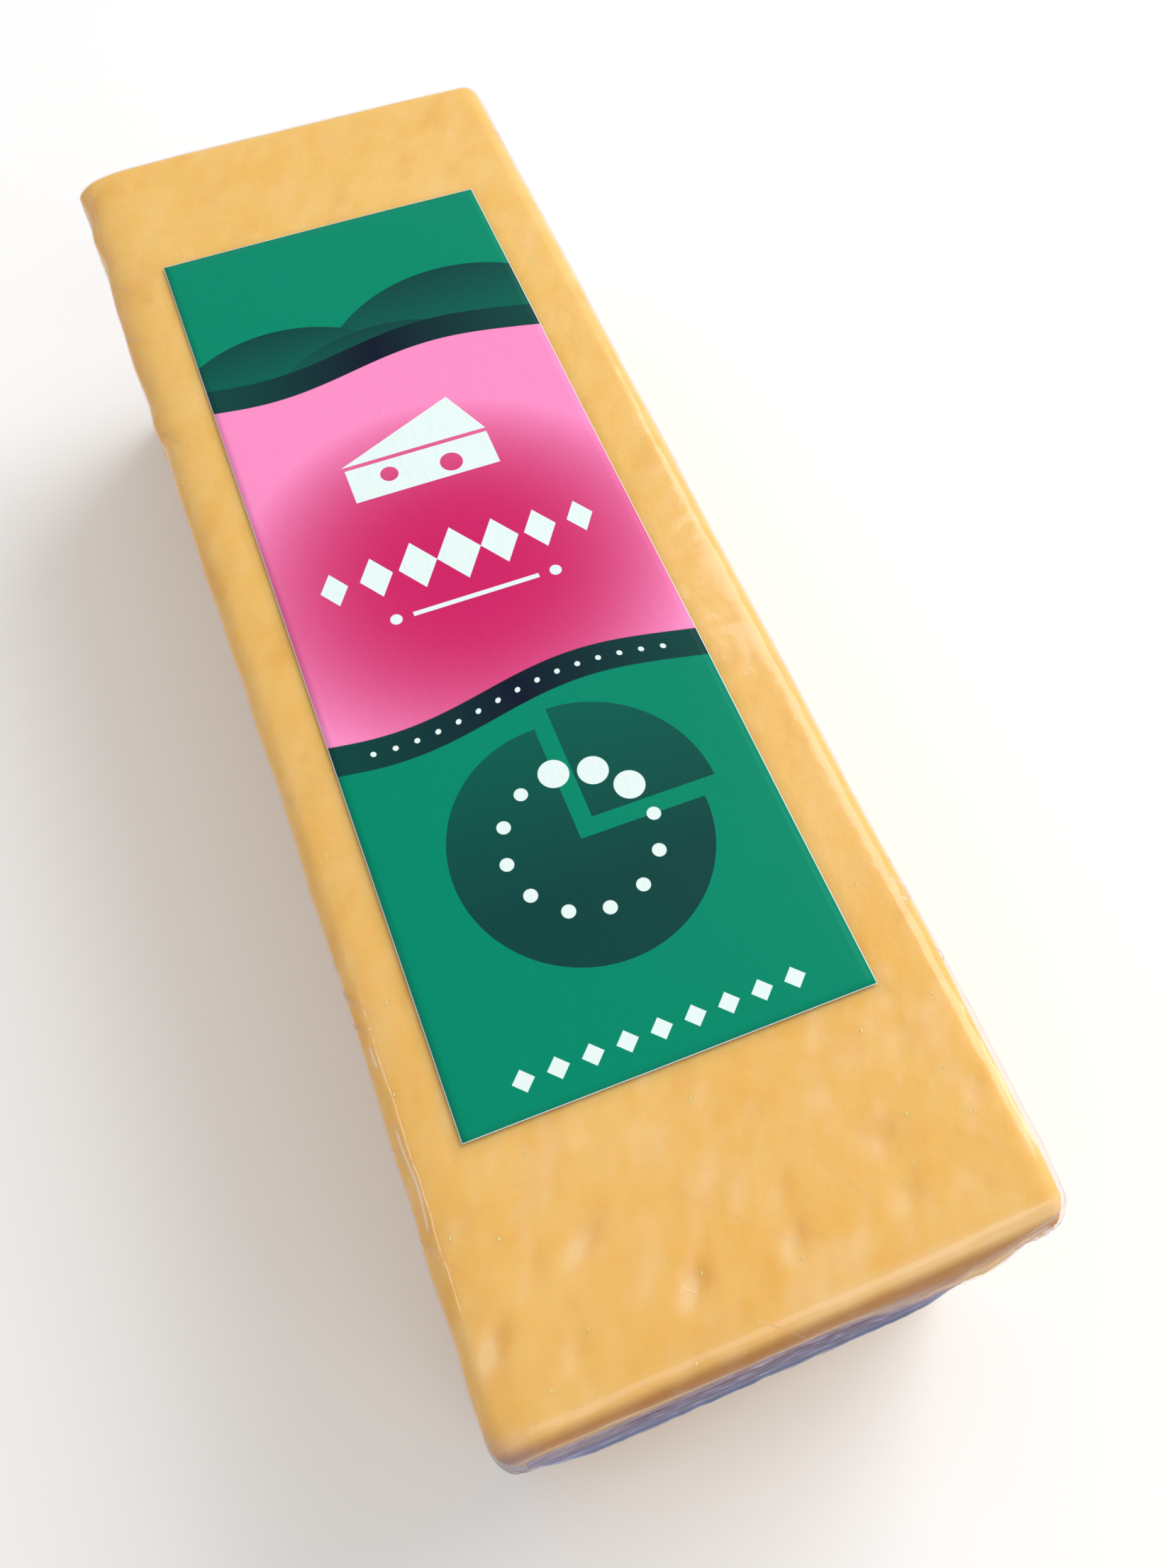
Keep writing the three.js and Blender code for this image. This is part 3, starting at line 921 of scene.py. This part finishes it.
def make_flecks(cheese):
    piece = grown("curd_flecks", fleck_tree(fleck_material()), FLECK_SIZES, cheese)
    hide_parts("cheddar_pack")
    return finished(piece)


# Label inks
GREEN = paint(0, 132, 102)
DEEP_GREEN = paint(14, 66, 62)
HILL_GREEN = paint(6, 98, 82)
NAVY = paint(14, 22, 42)
PINK = paint(242, 139, 192)
MAGENTA = paint(198, 34, 98)
WHITE_INK = paint(222, 238, 236)
PAPER = paint(226, 228, 230)

# The printed shapes, in millimetres across from the label's middle and up from its near edge.
# A hill has its middle across and up, its radius, and how far down from its crest its shade runs
HILLS = ((20, 152, 36, 20), (-20, 150, 32, 16), (2, 140, 36, 14))

# The wheel of cheese, and how far its cut piece is drawn out
WHEEL_UP = 43
WHEEL_RADIUS = 24
WHEEL_SHADE = (34, 50)
CUT_SHIFT = 3.4

# The panel between two dark bands, all waving across the label. A band has its middle and half its height
WAVE_LENGTH = 74
WAVE_START = 0.5
WAVE_HEIGHT = 2.6
PANEL_UP = 121.5
PANEL_HALF = 43.5
GLOW_UP = 106.7
GLOW_REACH = (46.3, 43.9)
GLOW_POWER = 3.4
UPPER_BAND = (168, 3.3)
LOWER_BAND = (75, 3.2)
BAND_SHADE = 34

# The wedge of cheese: its front's half width and half height, its holes with their middles and radii, the
# height of its top's base line and corners above its middle, and the two slopes of its top
WEDGE_UP = 134
WEDGE_FRONT = (15.5, 4.4)
WEDGE_HOLES = ((-7, 0.6, 1.9), (6, -0.9, 2.4))
WEDGE_TOP = 5.4
WEDGE_CORNERS = 5.6
WEDGE_SLOPES = (0.42, 2.2)

# The beads, which grow smaller from the middle of their row
BEADS_UP = 110.5
BEADS_EACH_SIDE = 3
BEAD_PITCH = 8.6
BEAD_HALF = (4.6, 6.6)
BEAD_SHRINK = 0.13

# Each row has its number of shapes, their pitch and their size. The ring has its radius, its number of
# dots, how many are large, and the small and the large size
BAND_DOTS = (15, 4.2, 0.55)
RULE_UP = 99.6
RULE_HALF = (13, 0.5)
RULE_DOTS = (2, 33, 1.2)
RING = (14, 12, 3, 1.3, 2.9)
FEET_UP = 6
FEET = (9, 6.1, 2.0)


def distance(u, v):
    return (u * u + v * v) ** 0.5


def dot(u, v, size):
    return distance(u, v).below(size)


def diamond(u, v, size):
    return (abs(u) + abs(v)).below(size)


def slab(u, v, half_width, half_height):
    """A rectangle about the origin."""
    return (abs(u) - half_width).most(abs(v) - half_height).below(0)


def quarter(u, v):
    """1 to the right of the origin and above it."""
    return (-u).below(0) * (-v).below(0)


def row_of(shape, u, v, count, pitch, size):
    """A shape repeated along a row about the origin."""
    places = [(k - (count - 1) / 2) * pitch for k in range(count)]
    return together(shape(u - place, v, size) for place in places)


def ring_of_dots(u, v, radius, count, large_count, small, large):
    """Dots spaced evenly round a circle, the first of them large."""
    masks = []
    for k in range(count):
        angle = TURN * k / count
        size = large if k < large_count else small
        masks.append(dot(u - radius * math.sin(angle), v - radius * math.cos(angle), size))
    return together(masks)


def wedge(u, v):
    """A wedge of cheese seen from the front and above, with holes in its front."""
    half_width, half_height = WEDGE_FRONT
    holes = together(dot(u - across, v - up, radius) for across, up, radius in WEDGE_HOLES)
    top_left = (v - WEDGE_CORNERS - (u + half_width) * WEDGE_SLOPES[0]).below(0)
    top_right = (v - WEDGE_CORNERS + (u - half_width) * WEDGE_SLOPES[1]).below(0)
    top = top_left * top_right * (WEDGE_TOP - v).below(0)
    return (slab(u, v, half_width, half_height) * (1 - holes)).most(top)


def beads(u, v):
    """A row of diamonds that grow smaller from its middle."""
    masks = []
    for place in range(-BEADS_EACH_SIDE, BEADS_EACH_SIDE + 1):
        share = 1 - BEAD_SHRINK * abs(place)
        across = abs(u - place * BEAD_PITCH) / (BEAD_HALF[0] * share)
        masks.append((across + abs(v) / (BEAD_HALF[1] * share)).below(1, 0.04))
    return together(masks)


def print_green(g, u, v):
    """The green ground, with rolling hills above and a cheese below whose cut piece is drawn out."""
    colour = GREEN
    for across, up, radius, crest in HILLS:
        shade = v.fall(radius + up, crest)
        colour = g.blend(dot(u - across, v - up, radius), colour, g.blend(shade, DEEP_GREEN, HILL_GREEN))
    from_middle = v - WHEEL_UP
    uncut = dot(u, from_middle, WHEEL_RADIUS) * (1 - quarter(u, from_middle))
    drawn_u, drawn_v = u - CUT_SHIFT, from_middle - CUT_SHIFT
    drawn = dot(drawn_u, drawn_v, WHEEL_RADIUS) * quarter(drawn_u, drawn_v)
    return g.blend(uncut.most(drawn), colour, g.blend(v.rise(*WHEEL_SHADE), DEEP_GREEN, HILL_GREEN))


def print_panel(g, u, v, colour):
    """The pink panel between two waving dark bands."""
    waved = v - (u * (TURN / WAVE_LENGTH) + WAVE_START).sin() * WAVE_HEIGHT
    panel = abs(waved - PANEL_UP).below(PANEL_HALF, 0.2)
    glow = distance(u / GLOW_REACH[0], (v - GLOW_UP) / GLOW_REACH[1]) ** GLOW_POWER
    colour = g.blend(panel, colour, g.blend(glow.held(), MAGENTA, PINK))
    dark = g.blend((abs(u) / BAND_SHADE).held(), NAVY, DEEP_GREEN)
    for middle, half in (UPPER_BAND, LOWER_BAND):
        colour = g.blend(abs(waved - middle).below(half, 0.2), colour, dark)
    return g.blend(row_of(dot, u, waved - LOWER_BAND[0], *BAND_DOTS), colour, WHITE_INK)


def print_marks(g, u, v, colour):
    """White marks: a cheese wedge, beads, a rule between two dots, a ring of dots and a row of diamonds."""
    marks = (
        wedge(u, v - WEDGE_UP),
        beads(u, v - BEADS_UP),
        slab(u, v - RULE_UP, *RULE_HALF),
        row_of(dot, u, v - RULE_UP, *RULE_DOTS),
        ring_of_dots(u, v - WHEEL_UP, *RING),
        row_of(diamond, u, v - FEET_UP, *FEET),
    )
    return g.blend(together(marks), colour, WHITE_INK)


def label_material():
    """Coated paper printed in green, pink, navy and white, with a bare white edge."""
    material, g = surface("printed_label")
    x, y, _ = g.split(object_place(g))
    u = (x - (label_low.x + label_high.x) / 2) / MM
    v = (y - label_low.y) / MM
    colour = print_marks(g, u, v, print_panel(g, u, v, print_green(g, u, v)))
    worn = g.noise(g.joined(u * 3, v * 0.15, 0.0), 1.0)
    # A faint fold runs down the panel
    fold = abs(u + 3 + (v - 120) * 0.03).below(0.1, 0.5) * abs(v - 118).below(42, 12)
    colour = g.tinted(colour, 0.94 + worn * 0.12 - fold * 0.05)
    edge_u = abs(u) - LABEL_HALF_WIDTH_MM
    edge_v = abs(v - LABEL_HALF_LENGTH_MM) - LABEL_HALF_LENGTH_MM
    printed = edge_u.most(edge_v).below(-0.14, 0.08)
    fibre = g.noise(g.joined(u, v, 0.0), 1.4, 3.0)
    sockets = {
        "Base Color": g.blend(printed, PAPER, colour),
        "Roughness": 0.42,
        "Specular IOR Level": 0.06,
        "Normal": g.bump(fibre + fold, 0.12, 0.0002),
    }
    shader = g.add("ShaderNodeBsdfPrincipled", None, sockets)
    g.add("ShaderNodeOutputMaterial", None, {"Surface": shader})
    return material


def make_label():
    """The label: a thin sheet that follows the top, a little thinner at its edges."""
    steps_x, steps_y = LABEL_MESH
    half_x, half_y = LABEL_SIZE.x / 2, LABEL_SIZE.y / 2
    lattice, quads = box_lattice([steps_x, steps_y, 1])
    x = LABEL_SHIFT_X + (lattice[:, 0] / steps_x * 2 - 1) * half_x
    y = LABEL_SHIFT_Y + (lattice[:, 1] / steps_y * 2 - 1) * half_y
    to_edge = np.minimum(half_x - np.abs(x - LABEL_SHIFT_X), half_y - np.abs(y - LABEL_SHIFT_Y))
    flat = np.stack((x, y, np.zeros_like(x)), 1)
    z = BLOCK[2] + top_swell(x, y) + LABEL_LIFT + lumps(flat, LABEL_RUFFLE)
    z += lattice[:, 2] * (LABEL_THICKNESS + LABEL_SWELL * smooth(to_edge, 0, LABEL_EDGE))
    piece = piece_from("label_sheet", np.stack((x, y, z), 1), quads)
    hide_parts("label")
    return finished(piece, label_material())


# The camera stands where the photograph was taken from, above the near left end of the block
CAMERA_FROM_LABEL_CORNER = Vector((1.7, -47.1, 210.3)) * MM
CAMERA_TURN = [math.radians(angle) for angle in (27.10, -0.35, -21.30)]
CAMERA_LENS = 29.89
CAMERA_CLIP = 10 * MM

# The floor lies just under the block
FLOOR_REACH = 3.0
FLOOR_DROP = 0.1 * MM
FLOOR_WHITE = (0.9, 0.9, 0.9, 1.0)

# The even light from all round, and each lamp's place, its width and height, and its power in watts
SKY = (1.0, 0.99, 0.98, 1.0)
SKY_STRENGTH = 0.6
LAMPS = {
    "key": ((1.15, 0.51, 1.22), (1.3, 1.0), 19),
    "near_fill": ((0.22, -1.1, 1.2), (1.1, 0.5), 3.5),
    "right_strip": ((0.97, -0.05, 0.42), (0.12, 0.27), 0.9),
    "left_strip": ((-0.89, 0.14, 0.74), (0.3, 0.12), 0.7),
}


def make_camera():
    data = bpy.data.cameras.new("camera")
    data.lens = CAMERA_LENS
    data.clip_start = CAMERA_CLIP
    camera = bpy.data.objects.new("camera", data)
    camera.location = Vector((label_low.x, label_low.y, label_high.z)) + CAMERA_FROM_LABEL_CORNER
    camera.rotation_euler = CAMERA_TURN
    bpy.context.scene.collection.objects.link(camera)
    bpy.context.scene.camera = camera


def make_floor():
    corners = ((-1, -1), (1, -1), (1, 1), (-1, 1))
    points = [(x * FLOOR_REACH, y * FLOOR_REACH, -FLOOR_DROP) for x, y in corners]
    mesh = bpy.data.meshes.new("floor")
    mesh.from_pydata(points, [], [(0, 1, 2, 3)])
    floor = bpy.data.objects.new("floor", mesh)
    bpy.context.scene.collection.objects.link(floor)
    material, g = surface("pale_floor")
    shader = g.add("ShaderNodeBsdfPrincipled", None, {"Base Color": FLOOR_WHITE, "Roughness": 0.8})
    g.add("ShaderNodeOutputMaterial", None, {"Surface": shader})
    mesh.materials.append(material)
    floor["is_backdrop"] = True


def make_lights():
    world = bpy.data.worlds.new("studio")
    world.use_nodes = True
    sky = world.node_tree.nodes["Background"].inputs
    sky["Color"].default_value = SKY
    sky["Strength"].default_value = SKY_STRENGTH
    bpy.context.scene.world = world
    bpy.context.scene.view_settings.view_transform = "Standard"
    for name, (place, size, power) in LAMPS.items():
        data = bpy.data.lights.new(name, "AREA")
        data.shape = "RECTANGLE"
        data.size, data.size_y = size
        data.energy = power
        lamp = bpy.data.objects.new(name, data)
        lamp.location = place
        towards = Vector((0, 0, BLOCK[2])) - Vector(place)
        lamp.rotation_euler = towards.to_track_quat("-Z", "Y").to_euler()
        bpy.context.scene.collection.objects.link(lamp)


make_camera()
make_floor()
make_lights()
cheese = make_cheese()
make_flecks(cheese)
make_film()
make_tails()
make_label()

boxes = {"cad": cad_box, "visual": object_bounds()}
{name: [list(corner) for corner in box] for name, box in boxes.items()}
